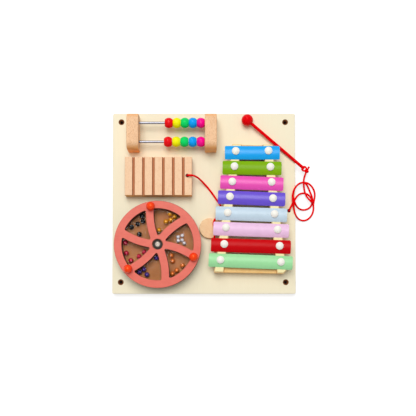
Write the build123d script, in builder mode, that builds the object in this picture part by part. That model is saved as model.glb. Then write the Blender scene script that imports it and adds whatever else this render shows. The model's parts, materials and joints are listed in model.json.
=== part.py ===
from build123d import *
from math import asin, cos, degrees, hypot, pi, radians, sin, sqrt, tan
import os

# Wooden busy board: a plywood board that carries an abacus, a scraper block with its disc,
# a turning rain wheel and an eight bar xylophone with a tethered mallet.
# The origin is the centre of the board's back face. +X is right, +Y is up the board and
# +Z stands out of the face that the child plays on. All sizes are millimetres and degrees.

os.makedirs("parts", exist_ok=True)

# ---------------------------------------------------------------- board
board_width = 300.0
board_height = 297.0
board_thickness = 12.0
board_corner_radius = 2.5
board_edge_radius = 0.8
board_top = board_thickness

mount_spacing_x = 270.0
mount_spacing_y = 264.0
mount_centre = (-1.2, 2.4)
mount_hole_radius = 2.25
mount_sink_radius = 4.9

# ---------------------------------------------------------------- screws from the back
screw_shank_radius = 2.0
screw_head_radius = 3.9
screw_head_height = 2.4
screw_rim = 0.4
screw_sunk = 0.5
screw_clearance = 0.15
screw_length = 25.0

# ---------------------------------------------------------------- abacus
abacus_block_width = 19.0
abacus_block_length = 58.2
abacus_block_height = 34.0
abacus_block_round = 12.0
abacus_left_x = -124.4
abacus_right_x = 1.5
abacus_low_y = 84.0
abacus_edge = 1.0

rod_radius = 2.0
rod_above_board = 18.0
rod_embedded = 10.0
rod_socket_clearance = 0.05
upper_rod_y = 128.7
lower_rod_y = 97.8

bead_radius = 8.4
bead_width = 12.9
bead_bore_clearance = 0.1
bead_edge = 0.8
bead_end_gap = 0.15
upper_bead_gap = 0.1
lower_bead_gap = 0.4
bead_colours = ("magenta", "blue", "green", "yellow", "red")

# ---------------------------------------------------------------- scraper block
rib_count = 7
rib_pitch = 16.1
groove_width = 4.2
groove_floor = 1.8
groove_depth = 5.0
rib_edge = 0.9
scraper_left_x = -128.0
scraper_low_y = 11.0
scraper_length = 61.9
scraper_height = 20.0
scraper_cord_hole = (-27.0, 42.6)

# ---------------------------------------------------------------- cords
cord_radius = 1.25
cord_hole_radius = 2.4
cord_start_z = 9.0
knot_radius = 4.4
knot_recess_radius = 6.5
knot_recess_depth = 8.0
knot_gap = 0.3

# ---------------------------------------------------------------- scraper disc
disc_radius = 16.6
disc_thickness = 6.0
disc_centre = (9.0, -41.6)
disc_edge = 1.2
disc_lift = 0.1
disc_hole = (19.5, -43.9)
disc_pivot_radius = 1.5
pivot_clearance = 0.1
disc_knot_radius = 3.2

# ---------------------------------------------------------------- rain wheel
wheel_centre = (-74.5, -69.0)
wheel_radius = 70.0
rim_width = 12.3
spoke_count = 6
spoke_width = 12.5
spoke_bend_radius = 107.0
spoke_heading = 118.0
opening_corner = 2.0
spacer_thickness = 3.0
spacer_radius = 9.0
wheel_play = 0.1
back_plate_thickness = 4.0
divider_height = 12.0
window_thickness = 2.0
window_inset = 0.6
face_thickness = 5.0
face_recess_radius = 8.5
wheel_edge = 0.6

axle_radius = 3.0
axle_clearance = 0.08
washer_radius = 7.5
washer_thickness = 1.2
bolt_head_radius = 5.5
bolt_head_height = 3.0
bolt_head_flat = 2.6
bolt_socket_width = 5.2
bolt_socket_depth = 2.0
nut_flange_radius = 9.5
nut_flange_thickness = 1.6
nut_barrel_radius = 4.0
nut_barrel_length = 8.0
nut_recess_depth = 3.0
nut_clearance = 0.1

knob_count = 3
knob_radius = 7.0
knob_foot_radius = 4.9
knob_circle_radius = 61.4
knob_first_angle = 100.3
knob_screw_length = 10.0
knob_screw_radius = 1.25
knob_screw_head_radius = 2.8

ball_radius = 4.1
small_ball_radius = 3.1
ball_play = 0.1
# Where each loose ball lies, as (distance from the axle, direction) round the wheel.
gold_balls = ((53.4, 69.1), (53.4, 59.5), (45.5, 63.1), (39.7, 71.3), (23.7, 85.7))
white_balls = ((34.7, 21.7), (42.0, 21.3), (33.2, 11.3), (39.5, 11.3), (42.6, 3.5))
orange_balls = ((27.3, -38.0), (35.3, -48.0), (52.2, -40.3), (51.5, -53.9), (52.4, -63.8))
purple_balls = ((21.2, -96.9), (45.9, -119.9), (53.4, -124.4), (51.7, -110.3))
red_balls = ((53.1, 176.2), (53.1, -165.4), (51.0, -150.0), (36.2, -148.5), (25.4, -152.9))
black_balls = ((53.4, 119.0), (45.6, 122.9), (47.5, 134.2), (51.9, 146.0), (35.0, 150.5))

# ---------------------------------------------------------------- xylophone
xylophone_centre = (76.3, -8.7)
xylophone_turn = -1.0
bar_count = 8
bar_width = 22.0
bar_pitch = 25.1
bar_arch = 3.4
bar_metal = 1.5
bar_corner = 2.2
bar_hole_radius = 2.0
shortest_bar = 88.5
bar_step = 6.6
# The bars sit a little loose on their pins, so each lies at its own small angle and a
# little off its even place.
bar_turns = (0.9, 0.1, -1.2, -1.2, -0.9, -1.0, -0.8, -1.2)
bar_slips = (0.0, 0.3, 0.9, 1.4, 0.8, 0.8, -0.2, 0.0)
bar_names = (
    "tone_bar_1_blue",
    "tone_bar_2_green",
    "tone_bar_3_magenta",
    "tone_bar_4_purple",
    "tone_bar_5_sky",
    "tone_bar_6_pink",
    "tone_bar_7_red",
    "tone_bar_8_mint",
)

rail_width = 15.0
rail_height = 20.0
rail_top_y = 102.0
rail_bottom_y = -106.3
rail_half_gap = 37.4
rail_taper = 0.1249
rail_end_chamfer = 5.0
felt_width = 13.0
felt_thickness = 2.0
felt_short = 1.5
cross_depth = 12.0
cross_height = 15.5
cross_gap = 0.1
cross_edge = 1.0

pin_offset = 1.6
# The pins are driven by hand: how far right and how far up each one stands off its even
# place, for the left and the right pin of each bar.
pin_slips = (
    ((-0.4, 0.2), (-0.6, 1.6)),
    ((1.1, 0.5), (-0.2, 0.7)),
    ((1.1, 0.9), (-1.1, 1.2)),
    ((0.9, 1.8), (-1.6, 0.2)),
    ((0.8, 1.0), (-1.9, 0.2)),
    ((1.6, 2.0), (0.2, 0.0)),
    ((2.4, 0.5), (0.7, -1.0)),
    ((-0.2, 0.2), (-0.1, -1.6)),
)
pin_radius = 1.5
pin_length = 22.0
pin_clearance = 0.05
cap_radius = 6.15
cap_rim = 1.2
cap_height = 4.0
cap_seat_gap = 0.05
cap_wall = 1.4

# ---------------------------------------------------------------- mallet
mallet_head_radius = 9.5
mallet_head_centre = (70.8, 135.5)
mallet_eye_centre = (162.2, 58.9)
mallet_lift = 0.2
stick_radius = 2.5
stick_embedded = 11.0
stick_end_round = 1.2
eye_to_tip = 3.2
eye_hole_radius = 1.6
eye_loop_radius = 3.6
eye_loop_ahead = 3.1
eye_clearance = 0.12
eye_knot_radius = 2.6
eye_knot_ahead = 8.8
eye_tail = (2.6, 6.6, 1.6)
mallet_cord_hole = (139.3, -12.2)

# ---------------------------------------------------------------- cord routes
# Points that each cord follows, chosen by hand, from the knot behind the board.
scraper_cord_route = (
    (-27.0, 42.6, cord_start_z),
    (-27.0, 42.6, 15.0),
    (-26.7, 42.9, 21.5),
    (-27.1, 42.5, 28.5),
    (-27.0, 42.6, 35.4),
    (-16.9, 42.4, 36.2),
    (-12.4, 41.0, 25.6),
    (-8.2, 37.6, 16.4),
    (1.4, 29.8, 13.4),
    (11.6, 18.9, 13.3),
    (21.2, 6.2, 13.4),
    (28.4, -3.8, 13.4),
    (27.2, -13.6, 16.6),
    (21.8, -22.4, 20.4),
    (15.6, -30.2, 20.9),
    (15.4, -38.2, 20.8),
)
scraper_tail_route = (
    (17.2, -53.4, 20.8),
    (15.8, -61.8, 20.0),
    (16.2, -69.8, 14.2),
    (18.3, -78.6, 13.3),
)
# From the hole in the board: up the edge, once round the small loop, twice round the long
# loop, a turn back on itself at the right, and up to the knot under the mallet's eye.
mallet_cord_route = (
    (139.3, -12.2, cord_start_z),
    (139.3, -12.2, 16.2),
    (142.9, -4.0, 14.4),
    (146.3, 3.2, 13.5),
    (149.6, 9.6, 13.8),
    (153.6, 13.8, 12.2),
    (158.0, 17.2, 5.6),
    (163.6, 19.4, 1.5),
    (169.8, 18.4, 1.3),
    (175.2, 14.2, 1.4),
    (178.9, 8.4, 1.3),
    (178.8, 1.4, 1.4),
    (174.2, -3.6, 1.3),
    (167.4, -6.4, 1.4),
    (160.4, -6.6, 1.9),
    (154.6, -4.4, 9.6),
    (150.4, -0.8, 15.2),
    (147.2, 5.0, 17.1),
    (145.6, 12.0, 14.6),
    (146.5, 19.0, 13.5),
    (149.2, 26.0, 13.7),
    (153.6, 31.6, 12.2),
    (158.4, 35.2, 5.4),
    (164.4, 36.8, 1.5),
    (171.4, 35.4, 1.3),
    (177.4, 30.6, 1.4),
    (181.5, 23.6, 1.3),
    (182.9, 15.6, 1.4),
    (182.2, 7.6, 1.3),
    (182.0, -1.0, 1.4),
    (180.6, -9.4, 1.3),
    (176.8, -17.0, 1.4),
    (171.2, -22.4, 1.3),
    (164.4, -24.2, 1.4),
    (158.4, -21.8, 3.6),
    (153.6, -17.2, 11.6),
    (149.2, -11.6, 14.2),
    (146.8, -5.0, 16.4),
    (143.9, 3.0, 17.8),
    (143.4, 10.4, 17.8),
    (145.6, 17.8, 16.4),
    (148.4, 25.2, 16.6),
    (153.8, 32.6, 16.2),
    (159.2, 36.6, 9.6),
    (164.6, 37.6, 4.4),
    (169.8, 34.8, 4.2),
    (173.0, 28.6, 1.6),
    (175.8, 21.4, 1.6),
    (178.4, 13.8, 4.2),
    (179.6, 6.4, 4.3),
    (179.8, -0.4, 4.3),
    (178.6, -0.8, 11.2),
    (176.4, 6.2, 10.4),
    (171.6, 12.2, 6.0),
    (168.4, 20.0, 4.3),
    (166.2, 28.2, 4.6),
    (164.9, 36.6, 9.0),
    (164.6, 44.6, 9.2),
)


def smooth_tube(route, radius, name):
    """Round cord through a route: straight runs joined by arcs as large as the runs allow."""
    points = [Vector(*point) for point in route]
    runs = [end - start for start, end in zip(points, points[1:])]
    radii = []
    for before, after in zip(runs, runs[1:]):
        half_turn = radians(before.get_angle(after)) / 2
        radii.append(0.45 * min(before.length, after.length) / tan(half_turn))
    with BuildPart() as tube:
        with BuildLine() as path:
            FilletPolyline(*points, radius=radii)
        with BuildSketch(Plane(origin=points[0], z_dir=runs[0])):
            Circle(radius)
        sweep()
    length = path.wires()[0].length
    section = pi * radius**2
    print(f"{name}: {length:.1f} mm long, tightest bend {min(radii):.1f} mm,",
          "radii", " ".join(f"{r:.1f}" for r in radii),
          f"volume / (section x length) {tube.part.volume / section / length:.4f}")
    return tube.part


def countersunk_screw(length, shank_radius, head_radius, head_height):
    """Wood screw that stands on its flat head at z = 0, with a plain shank and a point."""
    with BuildPart() as screw:
        with BuildSketch(Plane.XZ):
            with BuildLine():
                Polyline(
                    (0, 0),
                    (head_radius, 0),
                    (head_radius, screw_rim),
                    (shank_radius, head_height),
                    (shank_radius, length - 2 * shank_radius),
                    (0, length),
                    close=True,
                )
            make_face()
        revolve(axis=Axis.Z)
    return screw.part


def knot_seat(centre, radius, neighbour):
    """Flat on a knot, square to the cord that comes from the neighbouring route point."""
    run = (centre - Vector(*neighbour)).normalized()
    return Plane(origin=centre - run * sqrt(radius**2 - cord_radius**2), z_dir=run)


def on_back(points):
    """Places on the back face, which looks down -Z, for points given from the front."""
    return [Location((x, y, 0), (180, 0, 0)) for x, y in points]


def wheel_place(radius, angle):
    """Place over the board of a point given by its distance and direction from the axle."""
    return (
        wheel_centre[0] + radius * cos(radians(angle)),
        wheel_centre[1] + radius * sin(radians(angle)),
    )


# ---------------------------------------------------------------- shared places
abacus_xs = (abacus_left_x, abacus_right_x)
abacus_middle_y = abacus_low_y + abacus_block_length / 2
abacus_screw_ys = (abacus_middle_y - abacus_block_length / 4, abacus_middle_y + abacus_block_length / 4)
abacus_screw_places = [
    (x + abacus_block_width / 2, y) for x in abacus_xs for y in abacus_screw_ys
]
rod_low_x = abacus_left_x + abacus_block_width - rod_embedded
rod_high_x = abacus_right_x + rod_embedded
rod_middle_x = (rod_low_x + rod_high_x) / 2
rod_z = board_top + rod_above_board
rod_ys = (upper_rod_y, lower_rod_y)

scraper_width = rib_pitch * (rib_count - 1) + (rib_pitch - groove_width)
scraper_middle = (scraper_left_x + scraper_width / 2, scraper_low_y + scraper_length / 2)
scraper_screw_places = [
    (scraper_middle[0] + side * rib_pitch * (rib_count - 3) / 2, scraper_middle[1])
    for side in (-1, 1)
]

xylophone_plane = Plane(
    origin=(*xylophone_centre, 0),
    x_dir=(cos(radians(xylophone_turn)), sin(radians(xylophone_turn)), 0),
    z_dir=(0, 0, 1),
)
bar_ys = [bar_pitch * ((bar_count - 1) / 2 - index) for index in range(bar_count)]
felt_top = board_top + rail_height + felt_thickness


def rail_half(y):
    """Distance from the xylophone's middle line to the middle of a rail."""
    return rail_half_gap - rail_taper * y


def xylophone_place(x, y):
    """Place over the board of a point given in the xylophone's own axes."""
    spot = xylophone_plane.from_local_coords((x, y, 0))
    return spot.X, spot.Y


# The rails are screwed down midway between two pairs of bar pins.
rail_screw_ys = (bar_ys[0] - bar_pitch / 2 + pin_offset, bar_ys[-1] + bar_pitch / 2 + pin_offset)
rail_screw_places = [
    xylophone_place(side * rail_half(y), y) for side in (-1, 1) for y in rail_screw_ys
]
screw_places = abacus_screw_places + scraper_screw_places + rail_screw_places

crown_z = felt_top + bar_arch
cap_z = crown_z + cap_seat_gap
pin_top = cap_z + cap_height - cap_wall


def pin_spots(index, z):
    """The two places at height z where a bar is pinned to the rails."""
    y = bar_ys[index]
    return [
        xylophone_plane.from_local_coords((side * rail_half(y) + right, y + pin_offset + up, z))
        for side, (right, up) in zip((-1, 1), pin_slips[index])
    ]


pin_places = [spot for index in range(bar_count) for spot in pin_spots(index, pin_top - pin_length)]

plate_bottom = board_top + spacer_thickness + wheel_play
divider_bottom = plate_bottom + back_plate_thickness
window_bottom = divider_bottom + divider_height
face_bottom = window_bottom + window_thickness
face_top = face_bottom + face_thickness
wheel_bore = axle_radius + axle_clearance

stick_run = Vector(*mallet_eye_centre) - Vector(*mallet_head_centre)
head_z = board_top + mallet_head_radius + mallet_lift
edge_share = (board_width / 2 - mallet_head_centre[0]) / stick_run.X
edge_z = board_top + stick_radius + mallet_lift
stick_drop = (head_z - edge_z) / edge_share
head_point = Vector(*mallet_head_centre, head_z)
eye_point = Vector(*mallet_eye_centre, head_z - stick_drop)
stick_direction = (eye_point - head_point).normalized()
# The eye is drilled level through the stick. The cord's end loops through it to a knot ahead.
eye_axis = Vector(0, 0, 1).cross(stick_direction).normalized()
eye_plane = Plane(origin=eye_point, x_dir=stick_direction, z_dir=stick_direction.cross(eye_axis))
eye_knot_centre = eye_point + stick_direction * eye_knot_ahead

# ---------------------------------------------------------------- board
with BuildPart() as base_board:
    with BuildSketch():
        RectangleRounded(board_width, board_height, board_corner_radius)
    extrude(amount=board_thickness)
    fillet(base_board.faces().sort_by(Axis.Z)[-1].edges(), board_edge_radius)
    fillet(base_board.faces().sort_by(Axis.Z)[0].edges(), board_edge_radius)
    # Four countersunk holes hang the board on a wall or bolt it to a playpen.
    with Locations((*mount_centre, board_top)):
        with GridLocations(mount_spacing_x, mount_spacing_y, 2, 2):
            CounterSinkHole(radius=mount_hole_radius, counter_sink_radius=mount_sink_radius)
    # The pieces on the front are screwed on from the back.
    with Locations(*on_back(screw_places)):
        CounterSinkHole(
            radius=screw_shank_radius + screw_clearance,
            counter_sink_radius=screw_head_radius + screw_sunk + screw_rim + screw_clearance,
        )
    # The two cords end in knots that lie in pockets in the back.
    with Locations(*on_back([scraper_cord_hole, mallet_cord_hole])):
        CounterBoreHole(cord_hole_radius, knot_recess_radius, knot_recess_depth)
    # The wheel's bolt runs into a flanged nut let into the back.
    with Locations(*on_back([wheel_centre])):
        CounterBoreHole(
            nut_barrel_radius + nut_clearance,
            nut_flange_radius + nut_clearance,
            nut_recess_depth,
        )
base_board.part.label = "base_board"
export_step(base_board.part, "parts/base_board.step")

board_screw = countersunk_screw(
    screw_length, screw_shank_radius, screw_head_radius, screw_head_height
)
with BuildPart() as board_screws:
    with Locations(*[(x, y, screw_sunk) for x, y in screw_places]):
        add(board_screw)
board_screws.part.label = "board_screws"
export_step(board_screws.part, "parts/board_screws.step")

# ---------------------------------------------------------------- abacus
for side, block_x in zip(("left", "right"), abacus_xs):
    with BuildPart() as abacus_block:
        with BuildSketch(Plane.YZ.offset(block_x)) as block_outline:
            with Locations((abacus_middle_y, board_top)):
                Rectangle(
                    abacus_block_length, abacus_block_height, align=(Align.CENTER, Align.MIN)
                )
            fillet(block_outline.vertices().group_by(Axis.Y)[-1], abacus_block_round)
        extrude(amount=abacus_block_width)
        flat_sides = abacus_block.faces().sort_by(Axis.X)
        rims = flat_sides[0].edges() + flat_sides[-1].edges()
        fillet(rims.filter_by(lambda edge: edge.center().Z > board_top + abacus_edge), abacus_edge)
        # Both rods sit in blind holes on the faces that look at each other.
        with Locations(*[Location((rod_middle_x, y, rod_z), (0, 90, 0)) for y in rod_ys]):
            Cylinder(rod_radius + rod_socket_clearance, rod_high_x - rod_low_x, mode=Mode.SUBTRACT)
        with Locations(*[(x, y, screw_sunk) for x, y in abacus_screw_places]):
            add(board_screw, mode=Mode.SUBTRACT)
    abacus_block.part.label = f"abacus_{side}_block"
    export_step(abacus_block.part, f"parts/abacus_{side}_block.step")

for row, rod_y, bead_gap in (
    ("upper", upper_rod_y, upper_bead_gap),
    ("lower", lower_rod_y, lower_bead_gap),
):
    with BuildPart() as rod:
        with Locations(Location((rod_middle_x, rod_y, rod_z), (0, 90, 0))):
            Cylinder(rod_radius, rod_high_x - rod_low_x)
    rod.part.label = f"abacus_{row}_rod"
    export_step(rod.part, f"parts/abacus_{row}_rod.step")

    # The beads rest against the right block, from magenta beside it to red at the free end.
    bead_bore = rod_radius + bead_bore_clearance
    bead_face_radius = sqrt(bead_radius**2 - (bead_width / 2) ** 2)
    for index, colour in enumerate(bead_colours):
        bead_x = abacus_right_x - bead_end_gap - bead_width / 2 - index * (bead_width + bead_gap)
        with BuildPart() as bead:
            with BuildSketch(Plane.XY.offset(rod_z)):
                with BuildLine():
                    ball_side = ThreePointArc(
                        (bead_x - bead_width / 2, rod_y + bead_face_radius),
                        (bead_x, rod_y + bead_radius),
                        (bead_x + bead_width / 2, rod_y + bead_face_radius),
                    )
                    Polyline(
                        ball_side @ 1,
                        (bead_x + bead_width / 2, rod_y + bead_bore),
                        (bead_x - bead_width / 2, rod_y + bead_bore),
                        ball_side @ 0,
                    )
                make_face()
            revolve(axis=Axis((bead_x, rod_y, rod_z), (1, 0, 0)))
            shoulders = bead.edges().filter_by(
                lambda edge: edge.geom_type == GeomType.CIRCLE
                and abs(edge.radius - bead_face_radius) < 0.01
            )
            fillet(shoulders, bead_edge)
        bead.part.label = f"{row}_bead_{colour}"
        export_step(bead.part, f"parts/{row}_bead_{colour}.step")

# ---------------------------------------------------------------- scraper block
with BuildPart() as scraper_block:
    with BuildSketch(Plane.XZ.offset(-scraper_low_y - scraper_length)) as ribs:
        with Locations((scraper_middle[0], board_top)):
            Rectangle(scraper_width, scraper_height, align=(Align.CENTER, Align.MIN))
        with Locations((scraper_middle[0], board_top + scraper_height)):
            with GridLocations(rib_pitch, 0, rib_count - 1, 1):
                Polygon(
                    (-groove_width / 2, 0),
                    (-groove_floor / 2, -groove_depth),
                    (groove_floor / 2, -groove_depth),
                    (groove_width / 2, 0),
                    align=None,
                    mode=Mode.SUBTRACT,
                )
        fillet(ribs.vertices().group_by(Axis.Y)[-1], rib_edge)
    extrude(amount=scraper_length)
    with Locations((*scraper_cord_hole, board_top + scraper_height)):
        Hole(cord_hole_radius)
    with Locations(*[(x, y, screw_sunk) for x, y in scraper_screw_places]):
        add(board_screw, mode=Mode.SUBTRACT)
scraper_block.part.label = "scraper_block"
export_step(scraper_block.part, "parts/scraper_block.step")

# ---------------------------------------------------------------- scraper disc and its cord
disc_bottom = board_top + disc_lift
disc_top = disc_bottom + disc_thickness
with BuildPart() as scraper_disc:
    with BuildSketch(Plane.XY.offset(disc_bottom)):
        with Locations(disc_centre):
            Circle(disc_radius)
    extrude(amount=disc_thickness)
    fillet(scraper_disc.faces().sort_by(Axis.Z)[-1].edges(), disc_edge)
    fillet(scraper_disc.faces().sort_by(Axis.Z)[0].edges(), disc_edge)
    with Locations((*disc_hole, disc_top)):
        Hole(disc_pivot_radius + pivot_clearance)
scraper_disc.part.label = "scraper_disc"
export_step(scraper_disc.part, "parts/scraper_disc.step")

# The knot sits on the disc, and its neck fills the hole, so the disc swings about it.
disc_knot_centre = Vector(*disc_hole, disc_top + pivot_clearance + disc_knot_radius * 0.8)
cord_seat = knot_seat(disc_knot_centre, disc_knot_radius, scraper_cord_route[-1])
tail_seat = knot_seat(disc_knot_centre, disc_knot_radius, scraper_tail_route[0])
with BuildPart() as scraper_disc_knot:
    with Locations(Location(disc_knot_centre)):
        Sphere(disc_knot_radius)
    split(bisect_by=Plane.XY.offset(disc_top + pivot_clearance), keep=Keep.TOP)
    split(bisect_by=cord_seat, keep=Keep.TOP)
    split(bisect_by=tail_seat, keep=Keep.TOP)
    with BuildSketch(Plane.XY.offset(disc_bottom)):
        with Locations(disc_hole):
            Circle(disc_pivot_radius)
    extrude(amount=disc_thickness + disc_knot_radius)
scraper_disc_knot.part.label = "scraper_disc_knot"
export_step(scraper_disc_knot.part, "parts/scraper_disc_knot.step")

eye_seat = knot_seat(eye_knot_centre, eye_knot_radius, mallet_cord_route[-1])
for name, route in (
    ("scraper_cord", (*scraper_cord_route, cord_seat.origin)),
    ("scraper_cord_tail", (tail_seat.origin, *scraper_tail_route)),
    ("mallet_cord", (*mallet_cord_route, eye_seat.origin)),
):
    cord = smooth_tube(route, cord_radius, name)
    cord.label = name
    export_step(cord, f"parts/{name}.step")

for name, hole in (("scraper_back_knot", scraper_cord_hole), ("mallet_back_knot", mallet_cord_hole)):
    with BuildPart() as back_knot:
        with Locations((*hole, knot_recess_depth - knot_gap)):
            Sphere(knot_radius)
        split(bisect_by=Plane.XY.offset(knot_recess_depth - knot_gap), keep=Keep.BOTTOM)
        with BuildSketch(Plane.XY.offset(knot_recess_depth - knot_gap)):
            with Locations(hole):
                Circle(cord_radius)
        extrude(amount=cord_start_z - knot_recess_depth + knot_gap)
    back_knot.part.label = name
    export_step(back_knot.part, f"parts/{name}.step")

# ---------------------------------------------------------------- rain wheel


def wheel_outline(radius):
    """Rim, hub and six bent spokes: one profile for the divider and for the painted face."""
    with BuildSketch(mode=Mode.PRIVATE) as outline:
        Circle(radius)
        Circle(wheel_radius - rim_width, mode=Mode.SUBTRACT)
        spoke_sweep = 2 * degrees(asin((wheel_radius - rim_width / 2) / 2 / spoke_bend_radius))
        for index in range(spoke_count):
            heading = spoke_heading - index * 360 / spoke_count
            # Each spoke is a band on a circle that passes through the axle.
            bend_x = spoke_bend_radius * cos(radians(heading - 90))
            bend_y = spoke_bend_radius * sin(radians(heading - 90))
            with BuildLine():
                near = CenterArc(
                    (bend_x, bend_y), spoke_bend_radius - spoke_width / 2, heading + 90, -spoke_sweep
                )
                far = CenterArc(
                    (bend_x, bend_y), spoke_bend_radius + spoke_width / 2, heading + 90, -spoke_sweep
                )
                Line(near @ 0, far @ 0)
                Line(near @ 1, far @ 1)
            make_face()
        corners = outline.vertices().filter_by(
            lambda vertex: 1 < hypot(vertex.X, vertex.Y) < wheel_radius - rim_width / 2
        )
        fillet(corners, opening_corner)
    return outline.sketch


divider_outline = wheel_outline(wheel_radius)
with BuildPart() as wheel_back_plate:
    with BuildSketch(Plane.XY.offset(plate_bottom)):
        with Locations(wheel_centre):
            Circle(wheel_radius)
            Circle(wheel_bore, mode=Mode.SUBTRACT)
    extrude(amount=back_plate_thickness)
    chamfer(
        wheel_back_plate.faces().sort_by(Axis.Z)[0].edges().sort_by(SortBy.RADIUS)[-1], wheel_edge
    )
wheel_back_plate.part.label = "wheel_back_plate"
export_step(wheel_back_plate.part, "parts/wheel_back_plate.step")

with BuildPart() as wheel_divider:
    with BuildSketch(Plane.XY.offset(divider_bottom)):
        with Locations(wheel_centre):
            add(divider_outline)
            Circle(wheel_bore, mode=Mode.SUBTRACT)
    extrude(amount=divider_height)
wheel_divider.part.label = "wheel_divider"
export_step(wheel_divider.part, "parts/wheel_divider.step")

with BuildPart() as wheel_window:
    with BuildSketch(Plane.XY.offset(window_bottom)):
        with Locations(wheel_centre):
            Circle(wheel_radius - window_inset)
            Circle(wheel_bore, mode=Mode.SUBTRACT)
    extrude(amount=window_thickness)
wheel_window.part.label = "wheel_window"
export_step(wheel_window.part, "parts/wheel_window.step")

knob_places = [
    wheel_place(knob_circle_radius, knob_first_angle + index * 360 / knob_count)
    for index in range(knob_count)
]
knob_screw = countersunk_screw(
    knob_screw_length, knob_screw_radius, knob_screw_head_radius, knob_screw_head_radius * 0.6
)
with BuildPart() as wheel_face:
    with BuildSketch(Plane.XY.offset(face_bottom)):
        with Locations(wheel_centre):
            add(divider_outline)
            Circle(face_recess_radius, mode=Mode.SUBTRACT)
    extrude(amount=face_thickness)
    fillet(wheel_face.faces().sort_by(Axis.Z)[-1].edges(), wheel_edge)
    with Locations(*[(x, y, face_bottom) for x, y in knob_places]):
        add(knob_screw, mode=Mode.SUBTRACT)
wheel_face.part.label = "wheel_face"
export_step(wheel_face.part, "parts/wheel_face.step")

with BuildPart() as knob_screws:
    with Locations(*[(x, y, face_bottom) for x, y in knob_places]):
        add(knob_screw)
knob_screws.part.label = "knob_screws"
export_step(knob_screws.part, "parts/knob_screws.step")

# Each knob is a wooden ball with a flat foot.
knob_centre = face_top + sqrt(knob_radius**2 - knob_foot_radius**2)
with BuildPart() as wheel_knobs:
    with Locations(*[(x, y, knob_centre) for x, y in knob_places]):
        Sphere(knob_radius)
    split(bisect_by=Plane.XY.offset(face_top), keep=Keep.TOP)
    with Locations(*[(x, y, face_bottom) for x, y in knob_places]):
        add(knob_screw, mode=Mode.SUBTRACT)
wheel_knobs.part.label = "wheel_knobs"
export_step(wheel_knobs.part, "parts/wheel_knobs.step")

for colour, places, radius in (
    ("gold", gold_balls, ball_radius),
    ("white", white_balls, small_ball_radius),
    ("orange", orange_balls, ball_radius),
    ("purple", purple_balls, ball_radius),
    ("red", red_balls, ball_radius),
    ("black", black_balls, ball_radius),
):
    with BuildPart() as balls:
        height = divider_bottom + ball_play + radius
        with Locations(*[(*wheel_place(*place), height) for place in places]):
            Sphere(radius)
    balls.part.label = f"balls_{colour}"
    export_step(balls.part, f"parts/balls_{colour}.step")

with BuildPart() as wheel_spacer:
    with Locations((*wheel_centre, board_top)):
        Cylinder(spacer_radius, spacer_thickness, align=(Align.CENTER, Align.CENTER, Align.MIN))
        Cylinder(
            wheel_bore,
            spacer_thickness,
            align=(Align.CENTER, Align.CENTER, Align.MIN),
            mode=Mode.SUBTRACT,
        )
wheel_spacer.part.label = "wheel_spacer"
export_step(wheel_spacer.part, "parts/wheel_spacer.step")

washer_bottom = face_bottom + wheel_play
with BuildPart() as wheel_washer:
    with BuildSketch(Plane.XY.offset(washer_bottom)):
        with Locations(wheel_centre):
            Circle(washer_radius)
            Circle(wheel_bore, mode=Mode.SUBTRACT)
    extrude(amount=washer_thickness)
wheel_washer.part.label = "wheel_washer"
export_step(wheel_washer.part, "parts/wheel_washer.step")

# Button head bolt: shank, domed head and a hexagon socket.
head_bottom = washer_bottom + washer_thickness
shank_bottom = nut_recess_depth - nut_flange_thickness
with BuildPart() as wheel_bolt:
    with BuildSketch(Plane.XZ.offset(-wheel_centre[1])):
        with BuildLine():
            shank_side = Polyline(
                (wheel_centre[0], shank_bottom),
                (wheel_centre[0] + axle_radius, shank_bottom),
                (wheel_centre[0] + axle_radius, head_bottom),
                (wheel_centre[0] + bolt_head_radius, head_bottom),
                (wheel_centre[0] + bolt_head_radius, head_bottom + bolt_head_height * 0.2),
            )
            dome = ThreePointArc(
                shank_side @ 1,
                (wheel_centre[0] + bolt_head_radius * 0.82, head_bottom + bolt_head_height * 0.72),
                (wheel_centre[0] + bolt_head_flat, head_bottom + bolt_head_height),
            )
            Polyline(dome @ 1, (wheel_centre[0], head_bottom + bolt_head_height), shank_side @ 0)
        make_face()
    revolve(axis=Axis((*wheel_centre, 0), (0, 0, 1)))
    with BuildSketch(Plane.XY.offset(head_bottom + bolt_head_height)):
        with Locations(wheel_centre):
            RegularPolygon(bolt_socket_width / 2, 6, major_radius=False)
    extrude(amount=-bolt_socket_depth, mode=Mode.SUBTRACT)
wheel_bolt.part.label = "wheel_bolt"
export_step(wheel_bolt.part, "parts/wheel_bolt.step")

with BuildPart() as wheel_nut:
    with BuildSketch(Plane.XY.offset(shank_bottom)):
        with Locations(wheel_centre):
            Circle(nut_flange_radius)
    extrude(amount=nut_flange_thickness)
    with BuildSketch(Plane.XY.offset(nut_recess_depth)):
        with Locations(wheel_centre):
            Circle(nut_barrel_radius)
    extrude(amount=nut_barrel_length)
    with Locations((*wheel_centre, board_top)):
        Hole(axle_radius + nut_clearance / 2)
wheel_nut.part.label = "wheel_nut"
export_step(wheel_nut.part, "parts/wheel_nut.step")

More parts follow.
